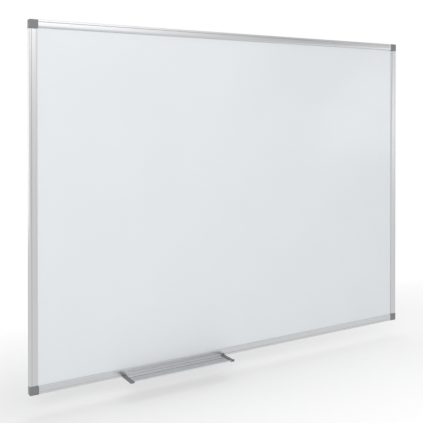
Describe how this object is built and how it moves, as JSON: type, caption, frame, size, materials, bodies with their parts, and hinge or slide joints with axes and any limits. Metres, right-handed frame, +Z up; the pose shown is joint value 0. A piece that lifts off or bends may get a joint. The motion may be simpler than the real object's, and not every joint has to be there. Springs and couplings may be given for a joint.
{
  "type": "magnetic whiteboard",
  "caption": "Wall-hung magnetic whiteboard: steel-faced panel in an aluminium frame, grey corner covers that pull off and a pen tray that slides along the bottom rail.",
  "frame": {"origin": "on the wall plane, at the middle of the top rail's rear face", "axes": "+Z up, +X to the reader's right along the board, -Y out of the wall towards the reader"},
  "size_m": [1.2, 0.069, 0.9018],
  "materials": {
    "anodised_aluminium": "satin silver anodised extrusion with fine lines along its length",
    "white_enamelled_steel": "smooth glossy white dry-wipe enamel on steel sheet",
    "fibreboard": "raw brown fibreboard",
    "galvanised_steel": "galvanised sheet with faint spangle",
    "grey_plastic": "fine-grained mid grey moulded plastic",
    "corner_body_plastic": "dark grey moulded plastic",
    "tray_end_plastic": "dark grey moulded plastic",
    "zinc_plated_steel": "bright zinc-plated screw"
  },
  "bodies": {
    "board": {"steel_face_sheet": "white_enamelled_steel", "core_board": "fibreboard", "back_sheet": "galvanised_steel", "rail_top": "anodised_aluminium", "rail_bottom": "anodised_aluminium", "rail_left": "anodised_aluminium", "rail_right": "anodised_aluminium", "corner_body_top_left": "corner_body_plastic", "corner_body_top_right": "corner_body_plastic", "corner_body_bottom_left": "corner_body_plastic", "corner_body_bottom_right": "corner_body_plastic", "rail_screw_top_left_1": "zinc_plated_steel", "rail_screw_top_left_2": "zinc_plated_steel", "rail_screw_top_right_1": "zinc_plated_steel", "rail_screw_top_right_2": "zinc_plated_steel", "rail_screw_bottom_left_1": "zinc_plated_steel", "rail_screw_bottom_left_2": "zinc_plated_steel", "rail_screw_bottom_right_1": "zinc_plated_steel", "rail_screw_bottom_right_2": "zinc_plated_steel"},
    "tray": {"pen_tray": "anodised_aluminium", "tray_end_left": "tray_end_plastic", "tray_end_right": "tray_end_plastic"},
    "cover_top_left": {"corner_cover_top_left": "grey_plastic"},
    "cover_top_right": {"corner_cover_top_right": "grey_plastic"},
    "cover_bottom_left": {"corner_cover_bottom_left": "grey_plastic"},
    "cover_bottom_right": {"corner_cover_bottom_right": "grey_plastic"}
  },
  "joints": [
    {"name": "tray_slide", "type": "slide", "parent": "board", "child": "tray", "axis": [1, 0, 0], "range_m": [-0.2155, 0.6349]},
    {"name": "cover_top_left_pull", "type": "slide", "parent": "board", "child": "cover_top_left", "axis": [0, -1, 0], "range_m": [0, 0.03]},
    {"name": "cover_top_right_pull", "type": "slide", "parent": "board", "child": "cover_top_right", "axis": [0, -1, 0], "range_m": [0, 0.03]},
    {"name": "cover_bottom_left_pull", "type": "slide", "parent": "board", "child": "cover_bottom_left", "axis": [0, -1, 0], "range_m": [0, 0.03]},
    {"name": "cover_bottom_right_pull", "type": "slide", "parent": "board", "child": "cover_bottom_right", "axis": [0, -1, 0], "range_m": [0, 0.03]}
  ]
}
